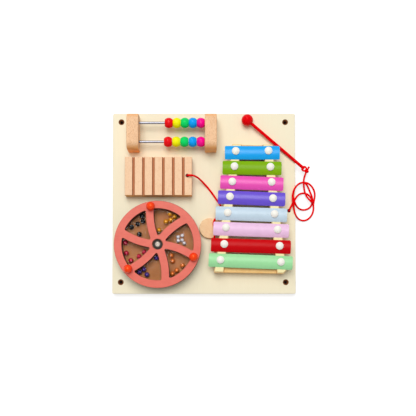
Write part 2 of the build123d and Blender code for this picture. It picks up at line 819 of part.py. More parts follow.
# ---------------------------------------------------------------- xylophone frame
for side, turn in (("left", -1), ("right", 1)):
    outline_points = []
    for y, out in ((rail_top_y, -1), (rail_top_y, 1), (rail_bottom_y, 1), (rail_bottom_y, -1)):
        outline_points.append((turn * (rail_half(y) + out * rail_width / 2), y))
    with BuildPart() as rail:
        with BuildSketch(xylophone_plane.offset(board_top)) as rail_outline:
            Polygon(*outline_points, align=None)
            if turn > 0:
                chamfer(
                    rail_outline.vertices().group_by(Axis.Y)[0].sort_by(Axis.X)[-1],
                    rail_end_chamfer,
                )
        extrude(amount=rail_height)
        with Locations(*[(x, y, screw_sunk) for x, y in rail_screw_places]):
            add(board_screw, mode=Mode.SUBTRACT)
    rail.part.label = f"xylophone_{side}_rail"

    felt_points = []
    for y, out in (
        (rail_top_y - felt_short, -1),
        (rail_top_y - felt_short, 1),
        (rail_bottom_y + felt_short, 1),
        (rail_bottom_y + felt_short, -1),
    ):
        felt_points.append((turn * (rail_half(y) + out * felt_width / 2), y))
    with BuildPart() as felt:
        with BuildSketch(xylophone_plane.offset(board_top + rail_height)):
            Polygon(*felt_points, align=None)
            if turn > 0:
                with Locations(
                    (rail_half(rail_bottom_y) + rail_width / 2, rail_bottom_y)
                ):
                    Rectangle(
                        2 * rail_end_chamfer,
                        2 * rail_end_chamfer,
                        rotation=45,
                        mode=Mode.SUBTRACT,
                    )
        extrude(amount=felt_thickness)
    felt.part.label = f"xylophone_{side}_felt"

    for piece in (rail, felt):
        with piece:
            with Locations(*pin_places):
                Cylinder(
                    pin_radius + pin_clearance,
                    pin_length,
                    align=(Align.CENTER, Align.CENTER, Align.MIN),
                    mode=Mode.SUBTRACT,
                )
    export_step(rail.part, f"parts/xylophone_{side}_rail.step")
    export_step(felt.part, f"parts/xylophone_{side}_felt.step")

# Two crosspieces close the frame between the rails, lower than the felt.
for end, near_y, far_y in (
    ("top", rail_top_y, rail_top_y - cross_depth),
    ("bottom", rail_bottom_y, rail_bottom_y + cross_depth),
):
    cross_points = []
    for y, out in ((near_y, -1), (near_y, 1), (far_y, 1), (far_y, -1)):
        cross_points.append((out * (rail_half(y) - rail_width / 2 - cross_gap), y))
    with BuildPart() as crosspiece:
        with BuildSketch(xylophone_plane.offset(board_top)):
            Polygon(*cross_points, align=None)
        extrude(amount=cross_height)
        fillet(crosspiece.faces().sort_by(Axis.Z)[-1].edges().filter_by(GeomType.LINE), cross_edge)
    crosspiece.part.label = f"xylophone_{end}_crosspiece"
    export_step(crosspiece.part, f"parts/xylophone_{end}_crosspiece.step")

# ---------------------------------------------------------------- tone bars
# Each bar is a strip of sheet metal bent to an arc, with its two long edges on the felt.
bend_radius = (bar_arch**2 + (bar_width / 2) ** 2) / (2 * bar_arch)
inner_half_width = sqrt((bend_radius - bar_metal) ** 2 - (bend_radius - bar_arch) ** 2)
for index, (name, turn, slip) in enumerate(zip(bar_names, bar_turns, bar_slips)):
    bar_length = shortest_bar + index * bar_step
    middle = xylophone_plane.from_local_coords((0, bar_ys[index] + slip, felt_top))
    bar_angle = radians(xylophone_turn + turn)
    along = Vector(cos(bar_angle), sin(bar_angle), 0)
    across = Vector(-sin(bar_angle), cos(bar_angle), 0)
    with BuildPart() as tone_bar:
        with BuildSketch(Plane(origin=middle, x_dir=across, z_dir=along)):
            with BuildLine():
                outside = ThreePointArc((-bar_width / 2, 0), (0, bar_arch), (bar_width / 2, 0))
                inside = ThreePointArc(
                    (-inner_half_width, 0), (0, bar_arch - bar_metal), (inner_half_width, 0)
                )
                Line(outside @ 0, inside @ 0)
                Line(outside @ 1, inside @ 1)
            make_face()
        extrude(amount=bar_length / 2, both=True)
        with BuildSketch(Plane(origin=middle, x_dir=along, z_dir=(0, 0, 1))):
            RectangleRounded(bar_length, bar_width, bar_corner)
        extrude(amount=bar_arch, mode=Mode.INTERSECT)
        with Locations(*pin_spots(index, crown_z)):
            Hole(bar_hole_radius)
    tone_bar.part.label = name
    export_step(tone_bar.part, f"parts/{name}.step")

# Each bar hangs on two nails that pass through domed caps and the felt into the rails.
with BuildPart() as bar_pins:
    with Locations(*pin_places):
        Cylinder(pin_radius, pin_length, align=(Align.CENTER, Align.CENTER, Align.MIN))
bar_pins.part.label = "bar_pins"
export_step(bar_pins.part, "parts/bar_pins.step")

# The cap is a turned dome with a blind bore for the nail.
cap_bore = pin_radius + pin_clearance
dome_height = cap_height - cap_rim
dome_radius = (cap_radius**2 + dome_height**2) / (2 * dome_height)
dome_start = degrees(asin((dome_radius - dome_height) / dome_radius))
with BuildPart() as pin_cap:
    with BuildSketch(Plane.XZ):
        with BuildLine():
            dome = CenterArc((0, cap_height - dome_radius), dome_radius, dome_start, 90 - dome_start)
            Polyline(
                dome @ 1,
                (0, cap_height - cap_wall),
                (cap_bore, cap_height - cap_wall),
                (cap_bore, 0),
                (cap_radius, 0),
                dome @ 0,
            )
        make_face()
    revolve(axis=Axis.Z)
with BuildPart() as bar_caps:
    with Locations(*[spot for index in range(bar_count) for spot in pin_spots(index, cap_z)]):
        add(pin_cap.part)
bar_caps.part.label = "bar_caps"
export_step(bar_caps.part, "parts/bar_caps.step")

# ---------------------------------------------------------------- mallet
stick_plane = Plane(origin=head_point, z_dir=stick_direction)
stick_start = mallet_head_radius - stick_embedded
stick_length = (eye_point - head_point).length
with BuildPart() as mallet_head:
    with Locations(head_point):
        Sphere(mallet_head_radius)
    with BuildSketch(stick_plane.offset(stick_start)):
        Circle(stick_radius)
    extrude(amount=2 * mallet_head_radius, mode=Mode.SUBTRACT)
mallet_head.part.label = "mallet_head"
export_step(mallet_head.part, "parts/mallet_head.step")

with BuildPart() as mallet_stick:
    with BuildSketch(stick_plane.offset(stick_start)):
        Circle(stick_radius)
    extrude(amount=stick_length + eye_to_tip - stick_start)
    fillet(
        mallet_stick.edges().filter_by(GeomType.CIRCLE).sort_by(Axis.X)[-1], stick_end_round
    )
    with Locations(eye_plane.location * Location((0, 0, 0), (90, 0, 0))):
        Cylinder(eye_hole_radius, 4 * stick_radius, mode=Mode.SUBTRACT)
    # The mouths of the eye are eased where the cord turns out of it.
    with Locations(eye_plane.location * Location((eye_loop_ahead, 0, 0))):
        Torus(eye_loop_radius, cord_radius + eye_clearance, mode=Mode.SUBTRACT)
mallet_stick.part.label = "mallet_stick"
export_step(mallet_stick.part, "parts/mallet_stick.step")

with BuildPart() as mallet_eye_knot:
    with Locations(eye_plane.location * Location((eye_loop_ahead, 0, 0))):
        Torus(eye_loop_radius, cord_radius)
    with Locations(Location(eye_knot_centre)):
        Sphere(eye_knot_radius)
    split(bisect_by=eye_seat, keep=Keep.TOP)
    with BuildSketch(Plane(origin=eye_knot_centre, z_dir=eye_tail)):
        Circle(cord_radius)
    extrude(amount=Vector(*eye_tail).length)
mallet_eye_knot.part.label = "mallet_eye_knot"
export_step(mallet_eye_knot.part, "parts/mallet_eye_knot.step")
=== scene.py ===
import json
from math import cos, pi, radians, sin

import bmesh
import bpy
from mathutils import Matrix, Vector


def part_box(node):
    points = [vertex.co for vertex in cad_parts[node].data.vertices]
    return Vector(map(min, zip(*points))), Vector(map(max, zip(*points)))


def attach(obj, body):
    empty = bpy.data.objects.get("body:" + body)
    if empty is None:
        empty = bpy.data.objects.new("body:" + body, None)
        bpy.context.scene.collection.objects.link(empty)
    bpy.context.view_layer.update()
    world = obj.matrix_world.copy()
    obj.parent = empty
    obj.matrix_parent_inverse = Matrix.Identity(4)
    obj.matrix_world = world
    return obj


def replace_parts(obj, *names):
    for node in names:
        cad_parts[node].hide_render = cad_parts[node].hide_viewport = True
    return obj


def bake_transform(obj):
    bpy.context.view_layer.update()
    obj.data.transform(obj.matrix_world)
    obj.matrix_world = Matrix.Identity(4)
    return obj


# A wooden busy board for small hands: a cream plywood panel that carries a bead abacus,
# a ribbed scraper with its disc, a turning rain wheel and an eight bar xylophone with a
# mallet on a cord. Lengths are metres, in the frame of the solids.

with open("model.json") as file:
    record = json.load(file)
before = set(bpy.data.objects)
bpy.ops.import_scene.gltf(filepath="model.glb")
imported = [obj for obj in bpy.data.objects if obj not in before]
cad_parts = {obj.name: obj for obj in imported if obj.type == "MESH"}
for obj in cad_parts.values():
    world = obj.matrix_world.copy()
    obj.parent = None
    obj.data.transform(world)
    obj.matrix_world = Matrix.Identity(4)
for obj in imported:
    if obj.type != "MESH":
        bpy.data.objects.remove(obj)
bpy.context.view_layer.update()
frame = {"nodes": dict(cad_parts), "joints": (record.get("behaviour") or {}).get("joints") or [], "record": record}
nodes = frame["nodes"]

# ---------------------------------------------------------------- studio
# The board lies on its back on a white floor. A broad soft lamp and a small one hang beyond
# its upper edge, a little to the left, and the white room fills the shadows. The camera hangs
# over the lower edge.
camera_place = (0.0, -0.1415, 1.112)
camera_tilt = radians(1.983)
camera_lens = 58.155
camera_shift = (0.0096, 0.14)
lamps = {
    "broad_lamp": ((-0.35, 1.65, 4.8), 3.4, 176.0),
    "small_lamp": ((-1.1, 3.2, 3.3), 1.0, 17.0),
}
room_light = 0.34
floor_size = 6.0
floor_drop = 0.0002
floor_grey = 0.45
floor_glow = 0.68
# Near black floor colour under the board: painted shade.
floor_painted_shade = 0.04
shelter_inset = 0.0005
board_shelter = [edge - shelter_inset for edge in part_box("base_board")[1].xy]


def feed(socket, value):
    """Sets a shader socket to a value, or links it to the socket that the value comes from."""
    if isinstance(value, bpy.types.NodeSocket):
        socket.id_data.links.new(value, socket)
    else:
        socket.default_value = value


def brush(tree, kind, sockets=None, **settings):
    """One shader node, its settings and what goes into its sockets: a value or another socket."""
    made = tree.nodes.new(kind)
    for name, value in settings.items():
        setattr(made, name, value)
    for name, value in (sockets or {}).items():
        feed(made.inputs[name], value)
    return made


def work_out(tree, operation, first, second=0.0):
    """Result of one sum on two sockets or numbers."""
    return brush(tree, "ShaderNodeMath", {0: first, 1: second}, operation=operation).outputs[0]


def rest_of(tree, share):
    """What a share from 0 to 1 leaves over."""
    return work_out(tree, "SUBTRACT", 1.0, share)


def seen_directly(tree):
    """1 for what the camera, a gloss or a pane shows, and 0 for light on its way to a surface."""
    rays = brush(tree, "ShaderNodeLightPath").outputs
    shown = work_out(tree, "MAXIMUM", rays["Is Camera Ray"], rays["Is Glossy Ray"])
    return work_out(tree, "MAXIMUM", shown, rays["Is Transmission Ray"])


def place_in_scene(thing):
    """Puts a new object into the scene."""
    bpy.context.scene.collection.objects.link(thing)
    return thing


camera = place_in_scene(bpy.data.objects.new("camera", bpy.data.cameras.new("camera")))
camera.location = camera_place
camera.rotation_euler = (camera_tilt, 0, 0)
camera.data.lens = camera_lens
camera.data.shift_x, camera.data.shift_y = camera_shift
bpy.context.scene.camera = camera
bpy.context.scene.view_settings.view_transform = "Standard"

for name, (place, size, power) in lamps.items():
    lamp = place_in_scene(bpy.data.objects.new(name, bpy.data.lights.new(name, "AREA")))
    lamp.data.shape = "DISK"
    lamp.data.size = size
    lamp.data.energy = power
    lamp.location = place
    lamp.rotation_euler = Vector(place).to_track_quat("Z", "Y").to_euler()

room = bpy.data.worlds.new("white_room")
bpy.context.scene.world = room
room.use_nodes = True
room_tree = room.node_tree
room_seen = seen_directly(room_tree)
room_strength = work_out(
    room_tree, "ADD", work_out(room_tree, "MULTIPLY", room_seen, 1 - room_light), room_light
)
room_sky = room_tree.nodes["Background"].inputs
feed(room_sky["Color"], (1, 1, 1, 1))
feed(room_sky["Strength"], room_strength)

floor_sheet = bmesh.new()
bmesh.ops.create_grid(floor_sheet, x_segments=1, y_segments=1, size=floor_size / 2)
floor = place_in_scene(bpy.data.objects.new("floor", bpy.data.meshes.new("floor")))
floor_sheet.to_mesh(floor.data)
floor_sheet.free()
floor.location.z = -floor_drop

floor_white = bpy.data.materials.new("floor_white")
floor_white.use_nodes = True
floor_tree = floor_white.node_tree
floor_tree.nodes.remove(floor_tree.nodes["Principled BSDF"])
floor_spot = brush(floor_tree, "ShaderNodeTexCoord").outputs["Object"]
floor_ways = brush(floor_tree, "ShaderNodeSeparateXYZ", {0: floor_spot}).outputs
# The glow stops under the board, and there the floor is painted near black as painted shade, so the board's holes
# look down into the dark.
past_edges = [
    work_out(floor_tree, "GREATER_THAN", work_out(floor_tree, "ABSOLUTE", floor_ways[way]), reach)
    for way, reach in zip("XY", board_shelter)
]
beside_board = work_out(floor_tree, "MAXIMUM", *past_edges)
bright = work_out(floor_tree, "MULTIPLY", seen_directly(floor_tree), beside_board)
glow = work_out(floor_tree, "MULTIPLY", bright, floor_glow)
floor_shade = brush(
    floor_tree,
    "ShaderNodeMixRGB",
    {
        "Fac": beside_board,
        "Color1": (floor_painted_shade, floor_painted_shade, floor_painted_shade, 1),
        "Color2": (floor_grey, floor_grey, floor_grey, 1),
    },
).outputs["Color"]
floor_sum = brush(
    floor_tree,
    "ShaderNodeAddShader",
    {
        0: brush(floor_tree, "ShaderNodeBsdfDiffuse", {"Color": floor_shade}).outputs[0],
        1: brush(floor_tree, "ShaderNodeEmission", {"Strength": glow}).outputs[0],
    },
)
# From below the sheet is open, and under the board it lets the room's light through, so the
# back of the board can be seen.
floor_back = brush(floor_tree, "ShaderNodeNewGeometry").outputs["Backfacing"]
unseen = rest_of(floor_tree, seen_directly(floor_tree))
let_through = work_out(floor_tree, "MULTIPLY", rest_of(floor_tree, beside_board), unseen)
floor_gap = work_out(floor_tree, "MAXIMUM", floor_back, let_through)
floor_open = brush(floor_tree, "ShaderNodeBsdfTransparent")
floor_skin = brush(
    floor_tree,
    "ShaderNodeMixShader",
    {0: floor_gap, 1: floor_sum.outputs[0], 2: floor_open.outputs[0]},
)
feed(floor_tree.nodes["Material Output"].inputs["Surface"], floor_skin.outputs[0])
floor.data.materials.append(floor_white)

# ---------------------------------------------------------------- base board
# A square of birch plywood, 12 mm thick, sprayed with a thin cream lacquer that lets a
# little grain through. The sawn edges show the plies. The four countersunk holes in the
# corners are burnt brown by the laser that cut them and painted darker deeper in as painted
# shade; the two cord holes are painted near black, laser char with painted shade.
board_cream = (246, 237, 208)
board_grain = (238, 226, 192)
ply_pale = (232, 206, 158)
ply_dark = (196, 158, 108)
# Laser char in the holes, with painted shade deeper in and in the cord holes.
char_and_shade_brown = (84, 42, 20)
burnt_rim = (128, 78, 44)
hole_painted_shade = (34, 20, 16)
ply_count = 7
board_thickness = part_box("base_board")[1].z
corner_hole_size = 0.0051
corner_hole_core = 0.0036
cord_hole_size = 0.0033


def middle_across(name):
    """Middle of a solid across the board, at the height of the board's back."""
    low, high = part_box(name)
    return Vector(((low.x + high.x) / 2, (low.y + high.y) / 2, 0))


wall_holes = next(mount for mount in frame["record"]["mounts"] if mount["name"] == "wall_holes")
corner_holes_middle = wall_holes["pos_m"]
corner_holes_reach = [wall_holes["dims"][f"spacing_{way}_mm"] / 2000 for way in "xy"] + [0]
mallet_cord_hole = middle_across("mallet_back_knot")
scraper_cord_hole = middle_across("scraper_back_knot")


def paint(red, green, blue):
    """Linear colour of a finish that is given as 0-255 display values."""
    shares = [part / 255 for part in (red, green, blue)]
    return (*[s / 12.92 if s < 0.04 else ((s + 0.055) / 1.055) ** 2.4 for s in shares], 1.0)


def finish(name):
    """A new material with its tree and its one surface shader."""
    material = bpy.data.materials.new(name)
    material.use_nodes = True
    return material, material.node_tree, material.node_tree.nodes["Principled BSDF"]


def coat_with(surface, colour, roughness, height, depth, **values):
    """Gives the surface its colour, its roughness, a relief of that depth and other values."""
    relief = brush(
        surface.id_data, "ShaderNodeBump", {"Height": height, "Distance": depth, "Strength": 1.0}
    )
    feed(surface.inputs["Base Color"], colour)
    feed(surface.inputs["Roughness"], roughness)
    feed(surface.inputs["Normal"], relief.outputs["Normal"])
    for name, value in values.items():
        feed(surface.inputs[name.replace("_", " ")], value)


def blend_in(tree, amount, under, over, share=1.0):
    """One colour laid over another by an amount from 0 to 1, or by a share of that amount."""
    if share < 1:
        amount = work_out(tree, "MULTIPLY", amount, share)
    mixed = brush(tree, "ShaderNodeMixRGB", {"Fac": amount, "Color1": under, "Color2": over})
    return mixed.outputs["Color"]


def soft_step(tree, value, low, high):
    """0 below low, 1 above high, with a soft step in between."""
    step = brush(
        tree,
        "ShaderNodeMapRange",
        {"Value": value, "From Min": low, "From Max": high},
        interpolation_type="SMOOTHSTEP",
    )
    return step.outputs["Result"]


def speckle(tree, place, size, detail, drawn=(1, 1, 1), distortion=0.0):
    """Cloudy noise whose spots are about that size, drawn out along the axes with low numbers."""
    spread = brush(tree, "ShaderNodeVectorMath", {0: place, 1: drawn}, operation="MULTIPLY")
    cloud = brush(
        tree,
        "ShaderNodeTexNoise",
        {
            "Vector": spread.outputs[0],
            "Scale": 1 / size,
            "Detail": detail,
            "Roughness": 0.6,
            "Distortion": distortion,
        },
    )
    return cloud.outputs["Fac"]


def own_place(tree, turn=0.0):
    """The point on the piece and the way its surface faces, both turned about Z into the grain."""
    spot = brush(tree, "ShaderNodeTexCoord").outputs
    if not turn:
        return spot["Object"], spot["Normal"]
    turned = [
        brush(
            tree,
            "ShaderNodeVectorRotate",
            {"Vector": spot[name], "Angle": -turn},
            rotation_type="Z_AXIS",
        ).outputs[0]
        for name in ("Object", "Normal")
    ]
    return turned[0], turned[1]


def part_of(tree, vector, axis):
    """Size of a vector along one axis, without its sign."""
    parts = brush(tree, "ShaderNodeSeparateXYZ", {0: vector}).outputs
    return work_out(tree, "ABSOLUTE", parts[axis])


def near_holes(tree, middle, size, reach=(0, 0, 0), edge=0.0006):
    """1 in the hole at middle, or in holes mirrored about it at reach, and 0 elsewhere."""
    spot = brush(tree, "ShaderNodeTexCoord").outputs["Object"]
    flat = brush(tree, "ShaderNodeVectorMath", {0: spot, 1: (1, 1, 0)}, operation="MULTIPLY")
    offset = brush(
        tree, "ShaderNodeVectorMath", {0: flat.outputs[0], 1: middle}, operation="SUBTRACT"
    )
    folded = brush(tree, "ShaderNodeVectorMath", {0: offset.outputs[0]}, operation="ABSOLUTE")
    away = brush(
        tree, "ShaderNodeVectorMath", {0: folded.outputs[0], 1: reach}, operation="DISTANCE"
    )
    return rest_of(tree, soft_step(tree, away.outputs["Value"], size - edge, size))


def dress(material, *names):
    """Gives solids of the frame their finish."""
    for name in names:
        nodes[name].data.materials.clear()
        nodes[name].data.materials.append(material)


board_finish, tree, surface = finish("cream_lacquered_plywood")
spot, facing = own_place(tree)
grain = speckle(tree, spot, size=0.0030, drawn=(1, 0.06, 1), detail=4, distortion=0.4)
cloud = speckle(tree, spot, size=0.040, detail=2)
face = blend_in(tree, grain, paint(*board_cream), paint(*board_grain), share=0.55)
face = blend_in(tree, cloud, face, paint(*board_grain), share=0.25)
height_on_edge = brush(tree, "ShaderNodeSeparateXYZ", {0: spot}).outputs["Z"]
# Pale and dark plies take turns through the thickness.
pairs_up = work_out(tree, "MULTIPLY", height_on_edge, ply_count / board_thickness / 2)
in_pair = work_out(tree, "SUBTRACT", work_out(tree, "FRACT", pairs_up), 0.5)
dark_ply = soft_step(tree, work_out(tree, "ABSOLUTE", in_pair), low=0.22, high=0.28)
end_fibres = speckle(tree, spot, size=0.0012, drawn=(1, 1, 0.2), detail=3)
edge = blend_in(tree, dark_ply, paint(*ply_pale), paint(*ply_dark))
edge = blend_in(tree, end_fibres, edge, paint(*ply_dark), share=0.5)
on_face = soft_step(tree, part_of(tree, facing, "Z"), low=0.25, high=0.7)
board_colour = blend_in(tree, on_face, edge, face)
# Painted shade: the corner holes go darker deeper in, over the laser char, and the cord holes near black.
in_corner_hole = near_holes(tree, corner_holes_middle, corner_hole_size, corner_holes_reach)
hole_deep_shade = near_holes(
    tree, corner_holes_middle, corner_hole_core, corner_holes_reach, edge=0.0012
)
hole_char_and_shade = blend_in(tree, hole_deep_shade, paint(*burnt_rim), paint(*char_and_shade_brown))
board_colour = blend_in(tree, in_corner_hole, board_colour, hole_char_and_shade)
for hole in (mallet_cord_hole, scraper_cord_hole):
    in_hole = near_holes(tree, hole, cord_hole_size)
    board_colour = blend_in(tree, in_hole, board_colour, paint(*hole_painted_shade))
coat_with(
    surface, board_colour, roughness=0.42, height=grain, depth=0.00002, Specular_IOR_Level=0.25
)
dress(board_finish, "base_board")

# ---------------------------------------------------------------- screws in the back
# Ten zinc plated wood screws with flat heads hold the blocks and rails from behind. Each
# head has a pressed cross recess and sits a little below the back face.
screw_sunk = 0.0005
screw_head = 0.0039
screw_rim = 0.0004
screw_neck = 0.0024
screw_shank = 0.0020
screw_plain = 0.006
screw_length = 0.025
screw_bevel = 0.0001
screw_taper = 2 * screw_shank
cross_arm = 0.0021
cross_width = 0.00045
cross_depth = 0.0016
cross_draft = (0.45, 0.6)
thread_pitch = 0.0014
thread_root = 0.74 * screw_shank
screw_room = 3 * screw_head
around_screw = 48
sharp_edge = radians(30)
zinc_grey = (168, 166, 158)


def metal(name, colour, roughness, lines=(1, 1, 1)):
    """Bare metal with fine drawn lines and uneven polish."""
    material, tree, surface = finish(name)
    spot, _ = own_place(tree)
    drawn = speckle(tree, spot, size=0.0004, drawn=lines, detail=4)
    smudge = speckle(tree, spot, size=0.006, detail=3)
    worn = paint(*[part * 0.6 for part in colour])
    shade = blend_in(tree, drawn, paint(*colour), worn, share=0.25)
    rough = work_out(tree, "ADD", work_out(tree, "MULTIPLY", smudge, 0.2), roughness - 0.1)
    coat_with(surface, shade, rough, height=drawn, depth=0.00001, Metallic=1.0)
    return material


def cross_screw(mesh, x, y):
    """Adds one screw to the mesh: cross recess, head, cone and a threaded shank with a point."""
    centre = Vector((x, y, screw_sunk))
    arm, half = cross_arm, cross_width
    cross = [(arm, half), (half, half), (half, arm), (-half, arm), (-half, half), (-arm, half)]
    cross += [(-a, -b) for a, b in cross]
    mouth = [mesh.verts.new(centre + Vector((a, b, 0))) for a, b in cross]
    draft_a, draft_b = cross_draft
    pit = [
        mesh.verts.new(centre + Vector((a * draft_a, b * draft_b, cross_depth))) for a, b in cross
    ]
    rim_points = [
        Vector((cos(2 * pi * i / around_screw), sin(2 * pi * i / around_screw), 0))
        for i in range(around_screw)
    ]
    profile = [(screw_head - screw_bevel, 0.0), (screw_head, screw_bevel), (screw_head, screw_rim)]
    profile += [(screw_shank, screw_neck), (screw_shank, screw_neck + screw_plain)]
    z = screw_neck + screw_plain
    while z < screw_length - screw_taper:
        profile += [(thread_root, z + thread_pitch * 0.3), (screw_shank, z + thread_pitch * 0.8)]
        z += thread_pitch
    profile += [(screw_shank * 0.7, screw_length - screw_taper)]
    profile += [(screw_bevel, screw_length - screw_sunk)]
    rings = [
        [mesh.verts.new(centre + point * radius + Vector((0, 0, up))) for point in rim_points]
        for radius, up in profile
    ]
    for low, high in zip(rings, rings[1:]):
        for i in range(around_screw):
            j = (i + 1) % around_screw
            mesh.faces.new((low[i], high[i], high[j], low[j]))
    mesh.faces.new(rings[-1])
    for i in range(len(mouth)):
        j = (i + 1) % len(mouth)
        mesh.faces.new((mouth[i], mouth[j], pit[j], pit[i]))
    mesh.faces.new(list(reversed(pit)))
    outline = [
        mesh.edges.get((ring[i], ring[(i + 1) % len(ring)]))
        for ring in (mouth, rings[0])
        for i in range(len(ring))
    ]
    bmesh.ops.triangle_fill(mesh, edges=outline, use_beauty=True)


def screw_middles(name):
    """Places of the screws that are one solid: the middles of vertices that lie together."""
    screws = []
    for vertex in nodes[name].data.vertices:
        spot = vertex.co.xy
        own = [screw for screw in screws if (screw[0] - spot).length < screw_room]
        if own:
            own[0].append(spot)
        else:
            screws.append([spot])
    reaches = [tuple(zip(*screw)) for screw in screws]
    return [((min(xs) + max(xs)) / 2, (min(ys) + max(ys)) / 2) for xs, ys in reaches]


def new_piece(name, mesh, material, body="root"):
    """Turns a mesh under work into a piece that rides on a body, and smooths its round faces."""
    bmesh.ops.recalc_face_normals(mesh, faces=mesh.faces)
    piece = place_in_scene(bpy.data.objects.new(name, bpy.data.meshes.new(name)))
    mesh.to_mesh(piece.data)
    mesh.free()
    piece.data.shade_smooth()
    piece.data.set_sharp_from_angle(angle=sharp_edge)
    piece.data.materials.append(material)
    if body:
        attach(piece, body)
    return piece


zinc = metal("zinc_plate", zinc_grey, roughness=0.38)
screws = bmesh.new()
for x, y in screw_middles("board_screws"):
    cross_screw(screws, x, y)
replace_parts(new_piece("back_screws", screws, zinc), "board_screws")

# ---------------------------------------------------------------- abacus
# Two upright beech blocks, sanded round on top, hold two steel rods in blind holes. Five
# lacquered wooden beads slide on each rod. Beech shows short darker flecks along the grain,
# and its end grain drinks more oil and goes darker.
beech_pale = (252, 210, 166)
beech_dark = (228, 172, 122)
beech_fleck = (176, 112, 68)
beech_end = (250, 178, 104)
rod_grey = (132, 132, 140)
bead_colours = {
    "red": (246, 8, 20),
    "yellow": (255, 252, 0),
    "green": (0, 222, 104),
    "blue": (6, 164, 255),
    "magenta": (255, 6, 150),
}


def wood(
    name, pale, dark, fleck, end, turn=pi / 2, flecks=0.6, streaks=0.5, milled=None, hole=None
):
    """Oiled wood whose fibres run along a line turned from X: streaks, short flecks, end grain.

    Milled is the colour of the groove walls and floors, saw marks with painted shade, and the
    height below which they lie. Hole is the middle of a cord's hole, which is painted near black as painted shade.
    """
    material, tree, surface = finish(name)
    spot, facing = own_place(tree, turn)
    fibres = speckle(tree, spot, size=0.0009, drawn=(0.05, 1, 1), detail=5, distortion=0.3)
    figure = speckle(tree, spot, size=0.011, drawn=(0.15, 1, 1), detail=2, distortion=1.2)
    waves = speckle(tree, spot, size=0.0030, drawn=(0.5, 1, 1), detail=3, distortion=0.8)
    mottle = soft_step(tree, waves, low=0.46, high=0.66)
    specks = speckle(tree, spot, size=0.00055, drawn=(0.22, 1, 1), detail=1)
    dashes = soft_step(tree, specks, low=0.58, high=0.68)
    colour = blend_in(tree, figure, paint(*pale), paint(*dark), share=streaks)
    colour = blend_in(tree, mottle, colour, paint(*dark), share=streaks)
    colour = blend_in(tree, fibres, colour, paint(*dark), share=streaks * 0.8)
    colour = blend_in(tree, dashes, colour, paint(*fleck), share=flecks)
    along_grain = part_of(tree, facing, "X")
    end_grain = soft_step(tree, along_grain, low=0.35, high=0.95)
    colour = blend_in(tree, end_grain, colour, paint(*end), share=0.92)
    # Painted shade: below the rib tops the groove walls and floors are painted darker, partly saw marks.
    if milled:
        sawn, top = milled
        height = brush(tree, "ShaderNodeSeparateXYZ", {0: spot}).outputs["Z"]
        below = rest_of(tree, soft_step(tree, height, low=top - 0.0012, high=top))
        inside = rest_of(tree, soft_step(tree, along_grain, low=0.5, high=0.8))
        saw_marks_and_shade = work_out(tree, "MULTIPLY", below, inside)
        colour = blend_in(tree, saw_marks_and_shade, colour, paint(*sawn), share=0.9)
    # Painted shade: the cord's hole is painted near black.
    if hole:
        colour = blend_in(tree, near_holes(tree, hole, cord_hole_size), colour, paint(*hole_painted_shade))
    relief = work_out(tree, "SUBTRACT", fibres, work_out(tree, "MULTIPLY", dashes, 0.6))
    coat_with(
        surface, colour, roughness=0.5, height=relief, depth=0.00006, Specular_IOR_Level=0.3
    )
    return material


def enamel(name, colour, roughness, gloss=0.2, deep=0.86, size=0.0012, tint=(255, 255, 255)):
    """Glossy lacquer over wood or sheet metal, a shade deeper in places, with a faint ripple."""
    material, tree, surface = finish(name)
    spot, _ = own_place(tree)
    cloud = speckle(tree, spot, size=0.007, detail=2)
    ripple = speckle(tree, spot, size, detail=2)
    shade = blend_in(tree, cloud, paint(*colour), paint(*[part * deep for part in colour]))
    dull = work_out(tree, "ADD", work_out(tree, "MULTIPLY", ripple, 0.1), roughness - 0.05)
    coat_with(
        surface,
        shade,
        dull,
        height=ripple,
        depth=0.00002,
        Specular_IOR_Level=gloss,
        Specular_Tint=paint(*tint),
    )
    return material


beech = wood("oiled_beech", beech_pale, beech_dark, beech_fleck, beech_end)
dress(beech, "abacus_left_block", "abacus_right_block")
rod_steel = metal("drawn_rod_steel", rod_grey, roughness=0.2, lines=(0.04, 1, 1))
dress(rod_steel, "abacus_upper_rod", "abacus_lower_rod")
for colour, mixed in bead_colours.items():
    bead_lacquer = enamel(f"bead_lacquer_{colour}", mixed, roughness=0.12, gloss=0.11, deep=0.97)
    dress(bead_lacquer, f"upper_bead_{colour}", f"lower_bead_{colour}")

# ---------------------------------------------------------------- scraper block
# A block of the same beech with six cross grooves milled into it, left bare and a touch
# paler. The cutter leaves the groove walls rougher, and down in the grooves the walls and floors
# are painted darker, partly as saw marks and partly as painted shade.
scraper_pale = (254, 218, 180)
scraper_dark = (234, 184, 138)
scraper_end = (255, 176, 84)
saw_and_shade_brown = (186, 106, 50)
groove_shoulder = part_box("scraper_block")[1].z - 0.0002
scraper_wood = wood(
    "milled_beech",
    scraper_pale,
    scraper_dark,
    beech_fleck,
    scraper_end,
    flecks=0.2,
    milled=(saw_and_shade_brown, groove_shoulder),
    hole=scraper_cord_hole,
)
dress(scraper_wood, "scraper_block")

# ---------------------------------------------------------------- scraper disc
# A turned beech disc with a soft edge and a hole near the rim for its cord. Its grain lies
# at a slant.
disc_grain = radians(35)
disc_pale = (255, 222, 174)
disc_dark = (244, 192, 140)
disc_wood = wood("turned_beech", disc_pale, disc_dark, beech_fleck, beech_end, turn=disc_grain)
dress(disc_wood, "scraper_disc")

